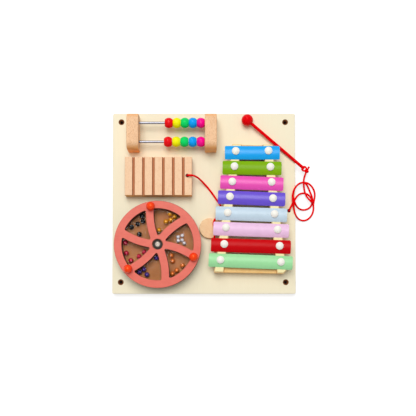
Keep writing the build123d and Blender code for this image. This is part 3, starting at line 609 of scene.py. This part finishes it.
# ---------------------------------------------------------------- cord to the disc
# Soft braided cord, about 3 mm thick. One piece runs from a knot behind the board up through
# the scraper block and over to the disc, where it is knotted and its tail lies loose.
cord_red = (250, 4, 14)
cord_radius = 0.00155
strands_around = 24
braid_lobes = 6
threads_in_strand = 3
braid_pitch = 0.0042
braid_depth = 0.00021
cut_end_share = 0.75
knot_points = 90
knot_rise = 1.3
scraper_cord_route = (
    (-0.0270, 0.0426, 0.0090),
    (-0.0270, 0.0426, 0.0150),
    (-0.0267, 0.0429, 0.0215),
    (-0.0271, 0.0425, 0.0285),
    (-0.0271, 0.0424, 0.0362),
    (-0.0182, 0.0424, 0.0366),
    (-0.0103, 0.0402, 0.0284),
    (-0.0034, 0.0352, 0.0190),
    (0.0046, 0.0276, 0.0139),
    (0.0128, 0.0171, 0.0136),
    (0.0212, 0.0049, 0.0137),
    (0.0279, -0.0046, 0.0137),
    (0.0266, -0.0136, 0.0168),
    (0.0218, -0.0224, 0.0204),
    (0.0156, -0.0302, 0.0209),
    (0.0154, -0.0382, 0.0208),
    (0.0178, -0.0415, 0.0208),
)
scraper_tail_route = (
    (0.0188, -0.0468, 0.0208),
    (0.0172, -0.0534, 0.0208),
    (0.0158, -0.0618, 0.0200),
    (0.0162, -0.0698, 0.0142),
    (0.0183, -0.0802, 0.0137),
)


def cord_line(*route):
    """Points along the smooth line of a cord: a spline with the route as its control points."""
    curve = bpy.data.curves.new("cord_line", "CURVE")
    curve.dimensions = "3D"
    curve.resolution_u = 22
    spline = curve.splines.new("NURBS")
    spline.points.add(len(route) - 1)
    for point, place in zip(spline.points, route):
        point.co = (*place, 1.0)
    spline.order_u = 3
    spline.use_endpoint_u = True
    holder = place_in_scene(bpy.data.objects.new("cord_line", curve))
    traced = bpy.data.meshes.new_from_object(holder)
    line = [vertex.co.copy() for vertex in traced.vertices]
    bpy.data.objects.remove(holder)
    bpy.data.meshes.remove(traced)
    return line


def braid_along(mesh, line, radius=cord_radius, closed=False):
    """Adds a braided tube to the mesh: rings round the line, raised where the strands cross."""
    uv = mesh.loops.layers.uv.verify()
    count = len(line)
    runs = []
    for i in range(count):
        before = line[i - 1] if closed or i else line[i]
        after = line[(i + 1) % count] if closed or i < count - 1 else line[i]
        runs.append((after - before).normalized())
    side = runs[0].orthogonal().normalized()
    rings, walked = [], 0.0
    for i, (point, run) in enumerate(zip(line, runs)):
        if i:
            walked += (point - line[i - 1]).length
            side = (side - run * side.dot(run)).normalized()
        other = run.cross(side)
        turn = 2 * pi * walked / braid_pitch
        cut_end = not closed and i in (0, count - 1)
        full = radius * cut_end_share if cut_end else radius
        ring = []
        for k in range(strands_around):
            angle = 2 * pi * k / strands_around
            lobes = max(abs(cos((braid_lobes * angle + way * turn) / 2)) for way in (1, -1))
            out = full - braid_depth * (1 - lobes)
            ring.append(mesh.verts.new(point + (side * cos(angle) + other * sin(angle)) * out))
        rings.append((ring, walked))
    pairs = list(zip(rings, rings[1:]))
    if closed:
        pairs.append((rings[-1], (rings[0][0], walked + (line[0] - line[-1]).length)))
    for (low, low_walked), (high, high_walked) in pairs:
        for k in range(strands_around):
            j = (k + 1) % strands_around
            skin = mesh.faces.new((low[k], low[j], high[j], high[k]))
            corners = ((low_walked, k), (low_walked, k + 1), (high_walked, k + 1), (high_walked, k))
            for loop, (along, about) in zip(skin.loops, corners):
                loop[uv].uv = (along / braid_pitch, about / strands_around)
    if not closed:
        mesh.faces.new(list(reversed(rings[0][0])))
        mesh.faces.new(rings[-1][0])
    return mesh


def braided_cotton():
    """Dyed cotton braid: two sets of fine slanting strands, with painted shade in the valleys between them."""
    material, tree, surface = finish("red_braid")
    spots = brush(tree, "ShaderNodeTexCoord").outputs
    lay = brush(tree, "ShaderNodeSeparateXYZ", {0: spots["UV"]}).outputs
    along = work_out(tree, "MULTIPLY", lay["X"], 2 * pi * threads_in_strand)
    about = work_out(tree, "MULTIPLY", lay["Y"], 2 * pi * braid_lobes * threads_in_strand)
    lifted = [
        work_out(tree, "ABSOLUTE", work_out(tree, "COSINE", work_out(tree, way, about, along)))
        for way in ("ADD", "SUBTRACT")
    ]
    strands = work_out(tree, "MAXIMUM", *lifted)
    fuzz = speckle(tree, spots["Object"], size=0.0003, detail=2)
    # Painted shade: the valleys between the strands are painted darker.
    valley_shade = paint(*[part * 0.88 for part in cord_red])
    shade = blend_in(tree, strands, valley_shade, paint(*cord_red))
    relief = work_out(tree, "ADD", strands, work_out(tree, "MULTIPLY", fuzz, 0.5))
    coat_with(
        surface,
        shade,
        roughness=0.6,
        height=relief,
        depth=0.00005,
        Specular_IOR_Level=0.15,
        Specular_Tint=paint(*cord_red),
    )
    return material


def knot_line(centre, up, size, start=0.0):
    """Closed line of an overhand knot pulled tight, flat across up."""
    lay_flat = up.to_track_quat("Z", "Y").to_matrix()
    line = []
    for i in range(knot_points):
        t = start + 2 * pi * i / knot_points
        trefoil = (sin(t) + 2 * sin(2 * t), cos(t) - 2 * cos(2 * t), -knot_rise * sin(3 * t))
        line.append(centre + lay_flat @ (size * Vector(trefoil)))
    return line


red_braid = braided_cotton()
scraper_line = cord_line(*scraper_cord_route)
scraper_cord = new_piece(
    "scraper_cord_braid", braid_along(bmesh.new(), scraper_line), red_braid
)
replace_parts(scraper_cord, "scraper_cord")
tail_line = cord_line(*scraper_tail_route)
scraper_tail = new_piece(
    "scraper_tail_braid", braid_along(bmesh.new(), tail_line), red_braid
)
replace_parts(scraper_tail, "scraper_cord_tail")

disc_hole = next(joint["pos_m"] for joint in frame["joints"] if joint["name"] == "disc_swing")
disc_knot_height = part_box("scraper_disc")[1].z + 0.0020
disc_knot_middle = Vector((disc_hole[0], disc_hole[1], disc_knot_height))
disc_knot_neck = Vector((0, 0, -0.0030))
disc_knot_foot = Vector((0, 0, -0.0075))
disc_knot_lift = Vector((0, 0, 0.0008))
disc_knot_size = 0.00068
disc_knot_cord = 0.0011
straight_up = Vector((0, 0, 1))
disc_knot_mesh = bmesh.new()
braid_along(
    disc_knot_mesh,
    knot_line(disc_knot_middle, straight_up, disc_knot_size),
    disc_knot_cord,
    closed=True,
)
into_hole = (disc_knot_middle + disc_knot_neck, disc_knot_middle + disc_knot_foot)
braid_along(disc_knot_mesh, cord_line(disc_knot_middle, *into_hole))
through_knot = (scraper_cord_route[-1], disc_knot_middle + disc_knot_lift, scraper_tail_route[0])
braid_along(disc_knot_mesh, cord_line(*through_knot))
disc_knot = new_piece("disc_knot_tied", disc_knot_mesh, red_braid)
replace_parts(disc_knot, "scraper_disc_knot")

back_knot_size = 0.00098
back_knot_cord = 0.0012
back_knot_turn = 0.4
back_knot_height = Vector((0, 0, 0.0052))
back_knot_neck = Vector((0, 0, 0.0015))
back_knot_top = Vector((0, 0, 0.0038))
back_tail_bend = Vector((0.0010, 0.0004, -0.0020))
back_tail_end = Vector((0.0026, 0.0030, -0.0036))


def back_knot(name, hole, replaced):
    """Stopper knot in its pocket behind the board, with its neck and a short tail."""
    middle = hole + back_knot_height
    mesh = bmesh.new()
    tied = knot_line(middle, straight_up, back_knot_size, back_knot_turn)
    braid_along(mesh, tied, back_knot_cord, closed=True)
    braid_along(mesh, cord_line(middle, middle + back_knot_neck, middle + back_knot_top))
    braid_along(mesh, cord_line(middle, middle + back_tail_bend, middle + back_tail_end))
    piece = new_piece(name, mesh, red_braid)
    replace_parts(piece, replaced)
    return piece


scraper_back_knot = back_knot("scraper_back_knot_tied", scraper_cord_hole, "scraper_back_knot")

# ---------------------------------------------------------------- rain wheel
# Four laser cut layers are stacked and glued: a plain back, a spoked divider, a clear acrylic
# window and a painted spoked face. The laser leaves every cut wall of the board almost black.
# Glossy balls roll in the six compartments.
wheel_coral = (234, 118, 100)
wheel_coral_deep = (222, 102, 86)
wheel_floor_tan = (202, 134, 78)
wheel_floor_deep = (172, 106, 58)
char_black = (44, 16, 8)
char_brown = (76, 34, 18)
bolt_middle = middle_across("wheel_bolt")
bolt_socket = 0.0023
bolt_bright = (158, 150, 140)
bolt_dull = (122, 114, 104)
socket_painted_shade = (70, 64, 58)
nylon_dark = (58, 52, 42)
knob_orange = (255, 56, 8)
knob_shine = (255, 196, 120)
ball_colours = {
    "gold": (255, 172, 30),
    "white": (255, 250, 255),
    "orange": (250, 136, 56),
    "purple": (84, 58, 150),
    "red": (214, 24, 66),
    "black": (30, 31, 33),
}


def laser_cut(name, top, deep, glossy, grain_turn=0.0):
    """Sheet wood with a finished face and cut walls that the laser has charred."""
    material, tree, surface = finish(name)
    spot, facing = own_place(tree, grain_turn)
    fibres = speckle(tree, spot, size=0.0010, drawn=(0.07, 1, 1), detail=4, distortion=0.5)
    cloud = speckle(tree, spot, size=0.012, detail=3)
    fine = work_out(tree, "MULTIPLY", fibres, 0.6)
    mottle = work_out(tree, "ADD", fine, work_out(tree, "MULTIPLY", cloud, 0.4))
    face = blend_in(tree, soft_step(tree, mottle, low=0.3, high=0.7), paint(*top), paint(*deep))
    streaks = speckle(tree, spot, size=0.0016, drawn=(1, 1, 0.1), detail=3)
    char = blend_in(tree, streaks, paint(*char_black), paint(*char_brown))
    level = part_of(tree, facing, "Z")
    colour = blend_in(tree, soft_step(tree, level, low=0.5, high=0.85), char, face)
    rough = work_out(tree, "SUBTRACT", 0.75, work_out(tree, "MULTIPLY", level, 0.75 - glossy))
    coat_with(surface, colour, rough, height=fibres, depth=0.00005, Specular_IOR_Level=0.2)
    return material


def pearl(name, colour):
    """Pearly lacquer on a small ball: a third of it shines like metal."""
    material, tree, surface = finish(name)
    spot, _ = own_place(tree)
    cloud = speckle(tree, spot, size=0.0012, detail=2)
    shade = blend_in(tree, cloud, paint(*colour), paint(*[part * 0.82 for part in colour]))
    dull = work_out(tree, "ADD", work_out(tree, "MULTIPLY", cloud, 0.06), 0.22)
    coat_with(
        surface, shade, dull, height=cloud, depth=0.000004, Metallic=0.3, Specular_IOR_Level=0.35
    )
    return material


tan_board = laser_cut(
    "tan_fibreboard", wheel_floor_tan, wheel_floor_deep, glossy=0.6, grain_turn=0.6
)
dress(tan_board, "wheel_back_plate", "wheel_divider", "wheel_spacer")
coral_board = laser_cut("coral_painted_board", wheel_coral, wheel_coral_deep, glossy=0.38)
dress(coral_board, "wheel_face")
for colour, mixed in ball_colours.items():
    dress(pearl(f"ball_pearl_{colour}", mixed), f"balls_{colour}")

clear_acrylic, tree, surface = finish("clear_acrylic")
spot, _ = own_place(tree)
scuffs = speckle(tree, spot, size=0.0015, drawn=(1, 0.1, 1), detail=4)
# The pane is clear from the front and only mirrors at a slant.
mirrored = brush(tree, "ShaderNodeFresnel", {"IOR": 1.49}).outputs[0]
past_clear = work_out(tree, "SUBTRACT", mirrored, 0.042)
seen_pane = work_out(tree, "MULTIPLY", work_out(tree, "MAXIMUM", past_clear, 0.002), 0.7)
polish = work_out(tree, "MULTIPLY", scuffs, 0.1)
coat_with(
    surface,
    (1, 1, 1, 1),
    polish,
    height=scuffs,
    depth=0.0000005,
    Metallic=1.0,
    Alpha=seen_pane,
)
dress(clear_acrylic, "wheel_window")

# Three turned wooden knobs, dipped in orange red gloss, are screwed on from behind.
knob_gloss = enamel(
    "knob_gloss", knob_orange, roughness=0.1, gloss=0.6, deep=1.0, tint=knob_shine
)
dress(knob_gloss, "wheel_knobs")
dress(zinc, "knob_screws")

# The wheel turns on a button head bolt with a dark nylon washer, in a nut let into the back.
bolt_steel, tree, surface = finish("bright_bolt_steel")
spot, _ = own_place(tree)
turned = speckle(tree, spot, size=0.0004, detail=4)
# Painted shade: a dark ring is painted inside the bolt's hex socket.
socket_shade_ring = work_out(
    tree,
    "SUBTRACT",
    near_holes(tree, bolt_middle, bolt_socket, edge=0.0005),
    near_holes(tree, bolt_middle, bolt_socket * 0.5, edge=0.0005),
)
bolt_shade = blend_in(tree, turned, paint(*bolt_bright), paint(*bolt_dull), share=0.25)
bolt_shade = blend_in(tree, socket_shade_ring, bolt_shade, paint(*socket_painted_shade), share=0.8)
coat_with(surface, bolt_shade, roughness=0.35, height=turned, depth=0.00001, Metallic=1.0)
dress(bolt_steel, "wheel_bolt")
dark_nylon = enamel("dark_nylon", nylon_dark, roughness=0.5, size=0.0005)
dress(dark_nylon, "wheel_washer")
dress(zinc, "wheel_nut")

# ---------------------------------------------------------------- xylophone frame
# Two slanting pine rails with thin felt strips on top, closed by two lower crosspieces. The
# frame is glued together, and its rails are screwed down from behind.
pine_pale = (246, 218, 160)
pine_dark = (226, 184, 120)
pine_line = (190, 130, 70)
pine_end = (222, 170, 100)
cross_pale = (255, 216, 144)
cross_dark = (240, 184, 108)
cross_end = (246, 190, 112)
felt_pale = (255, 246, 194)
felt_deep = (248, 228, 164)
rail_leans = {"left": radians(-8.12), "right": radians(6.12)}
cross_lean = radians(-1)

for side, lean in rail_leans.items():
    rail_pine = wood(
        f"pine_{side}_rail",
        pine_pale,
        pine_dark,
        pine_line,
        pine_end,
        turn=pi / 2 + lean,
        flecks=0.2,
    )
    dress(rail_pine, f"xylophone_{side}_rail")
cross_pine = wood(
    "pine_crosspiece",
    cross_pale,
    cross_dark,
    pine_line,
    cross_end,
    turn=cross_lean,
    flecks=0.3,
    streaks=0.7,
)
dress(cross_pine, "xylophone_top_crosspiece", "xylophone_bottom_crosspiece")

felt, tree, surface = finish("cream_felt")
spot, _ = own_place(tree)
tufts = speckle(tree, spot, size=0.0005, detail=4)
wisps = speckle(tree, spot, size=0.0016, drawn=(1, 0.3, 1), detail=3, distortion=1.5)
felt_colour = blend_in(tree, wisps, paint(*felt_pale), paint(*felt_deep))
coat_with(
    surface,
    felt_colour,
    roughness=0.95,
    height=tufts,
    depth=0.0002,
    Sheen_Weight=0.3,
    Sheen_Roughness=0.5,
)
dress(felt, "xylophone_left_felt", "xylophone_right_felt")

# ---------------------------------------------------------------- tone bars
# Each bar is a strip of steel sheet, rolled to a shallow arch and enamelled all over. Two
# nails under domed plastic caps hold it loosely on the felt.
bar_colours = {
    "tone_bar_1_blue": ((0, 170, 250), 0.3),
    "tone_bar_2_green": ((132, 182, 4), 0.12),
    "tone_bar_3_magenta": ((244, 78, 186), 0.36),
    "tone_bar_4_purple": ((106, 78, 214), 0.38),
    "tone_bar_5_sky": ((204, 224, 238), 0.25),
    "tone_bar_6_pink": ((244, 200, 234), 0.25),
    "tone_bar_7_red": ((208, 2, 12), 0.08),
    "tone_bar_8_mint": ((164, 232, 166), 0.25),
}
pin_grey = (150, 150, 152)
cap_cream = (255, 252, 242)
for name, (mixed, gloss) in bar_colours.items():
    dress(enamel(f"enamel_{name}", mixed, roughness=0.3, gloss=gloss, deep=0.94), name)
pin_steel = metal("pin_steel", pin_grey, roughness=0.35)
dress(pin_steel, "bar_pins")
cap_white = enamel("cap_white", cap_cream, roughness=0.35, deep=0.97, size=0.0006)
dress(cap_white, "bar_caps")

# ---------------------------------------------------------------- mallet
# A turned wooden ball on a dowel, both dipped in red lacquer. An eye drilled through the
# thin end takes the cord.
mallet_red = (240, 4, 14)
head_shine = (255, 120, 110)
stick_shine = (255, 90, 80)
head_lacquer = enamel(
    "mallet_lacquer", mallet_red, roughness=0.1, gloss=0.16, deep=0.95, tint=head_shine
)
dress(head_lacquer, "mallet_head")
stick_lacquer = enamel(
    "stick_lacquer",
    mallet_red,
    roughness=0.3,
    gloss=0.08,
    deep=0.95,
    size=0.0008,
    tint=stick_shine,
)
dress(stick_lacquer, "mallet_stick")

# ---------------------------------------------------------------- mallet cord
# The cord comes up through the board beside the xylophone, lies in loose loops over the
# edge and ends in a loop that is tied through the mallet's eye.
mallet_cord_route = (
    (0.1393, -0.0122, 0.0090),
    (0.1393, -0.0122, 0.0162),
    (0.1425, -0.0056, 0.0144),
    (0.1461, 0.0004, 0.0135),
    (0.1492, 0.0060, 0.0138),
    (0.1527, 0.0115, 0.0122),
    (0.1577, 0.0161, 0.0056),
    (0.1643, 0.0184, 0.0018),
    (0.1710, 0.0171, 0.0017),
    (0.1764, 0.0122, 0.0018),
    (0.1794, 0.0054, 0.0017),
    (0.1788, -0.0018, 0.0018),
    (0.1743, -0.0071, 0.0017),
    (0.1675, -0.0099, 0.0018),
    (0.1605, -0.0095, 0.0019),
    (0.1536, -0.0066, 0.0096),
    (0.1494, -0.0011, 0.0152),
    (0.1471, 0.0049, 0.0171),
    (0.1460, 0.0118, 0.0146),
    (0.1468, 0.0186, 0.0135),
    (0.1492, 0.0248, 0.0137),
    (0.1534, 0.0302, 0.0122),
    (0.1593, 0.0344, 0.0054),
    (0.1659, 0.0362, 0.0018),
    (0.1729, 0.0349, 0.0017),
    (0.1789, 0.0298, 0.0017),
    (0.1827, 0.0228, 0.0017),
    (0.1841, 0.0154, 0.0017),
    (0.1829, 0.0074, 0.0017),
    (0.1811, -0.0006, 0.0017),
    (0.1818, -0.0089, 0.0017),
    (0.1794, -0.0173, 0.0018),
    (0.1739, -0.0246, 0.0017),
    (0.1651, -0.0284, 0.0018),
    (0.1562, -0.0255, 0.0036),
    (0.1505, -0.0199, 0.0116),
    (0.1479, -0.0128, 0.0142),
    (0.1466, -0.0055, 0.0164),
    (0.1453, 0.0022, 0.0178),
    (0.1447, 0.0097, 0.0178),
    (0.1459, 0.0172, 0.0164),
    (0.1484, 0.0240, 0.0166),
    (0.1532, 0.0300, 0.0162),
    (0.1591, 0.0342, 0.0099),
    (0.1655, 0.0356, 0.0056),
    (0.1700, 0.0318, 0.0056),
    (0.1734, 0.0264, 0.0022),
    (0.1759, 0.0200, 0.0018),
    (0.1781, 0.0136, 0.0048),
    (0.1794, 0.0073, 0.0049),
    (0.1792, 0.0023, 0.0049),
    (0.1770, 0.0017, 0.0112),
    (0.1738, 0.0058, 0.0104),
    (0.1697, 0.0114, 0.0060),
    (0.1669, 0.0186, 0.0049),
    (0.1654, 0.0262, 0.0052),
    (0.1643, 0.0345, 0.0090),
    (0.1648, 0.0424, 0.0092),
    (0.1680, 0.0514, 0.0122),
)
eye_middle = Vector((0.1622, 0.0589, 0.01362))
head_low, head_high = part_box("mallet_head")
stick_run = (eye_middle - (head_low + head_high) / 2).normalized()
stick_up = (straight_up - stick_run * stick_run.z).normalized()
stick_side = stick_up.cross(stick_run)
eye_loop_points = 48
eye_loop_radius = 0.0035
eye_loop_cord = 0.94 * cord_radius
eye_loop_ahead = 0.0031
eye_knot_ahead = 0.0088
eye_loop_middle = eye_middle + stick_run * eye_loop_ahead
eye_knot_middle = eye_middle + stick_run * eye_knot_ahead
eye_knot_size = 0.00078
eye_knot_cord = 0.0014
eye_knot_turn = 0.8
eye_tail = Vector((0.0038, 0.0070, 0.0016))
eye_tail_bend = eye_tail * 0.55 + stick_side * 0.0006

mallet_line = cord_line(*mallet_cord_route)
mallet_cord = new_piece(
    "mallet_cord_braid", braid_along(bmesh.new(), mallet_line), red_braid, body=None
)
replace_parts(mallet_cord, "mallet_cord")

loop_line = []
for i in range(eye_loop_points):
    angle = 2 * pi * i / eye_loop_points
    loop_line.append(
        eye_loop_middle + (stick_run * cos(angle) + stick_side * sin(angle)) * eye_loop_radius
    )
eye_mesh = bmesh.new()
braid_along(eye_mesh, loop_line, eye_loop_cord, closed=True)
eye_tied = knot_line(eye_knot_middle, stick_up, eye_knot_size, eye_knot_turn)
braid_along(eye_mesh, eye_tied, eye_knot_cord, closed=True)
tail_points = (eye_knot_middle + eye_tail_bend, eye_knot_middle + eye_tail)
braid_along(eye_mesh, cord_line(eye_knot_middle, *tail_points))
cord_end = Vector(mallet_cord_route[-1])
halfway = (cord_end + eye_knot_middle) * 0.5
braid_along(eye_mesh, cord_line(cord_end, halfway, eye_knot_middle))
eye_knot = new_piece("mallet_eye_knot_tied", eye_mesh, red_braid, body="mallet")
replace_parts(eye_knot, "mallet_eye_knot")
mallet_back_knot = back_knot("mallet_back_knot_tied", mallet_cord_hole, "mallet_back_knot")
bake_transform(mallet_cord)
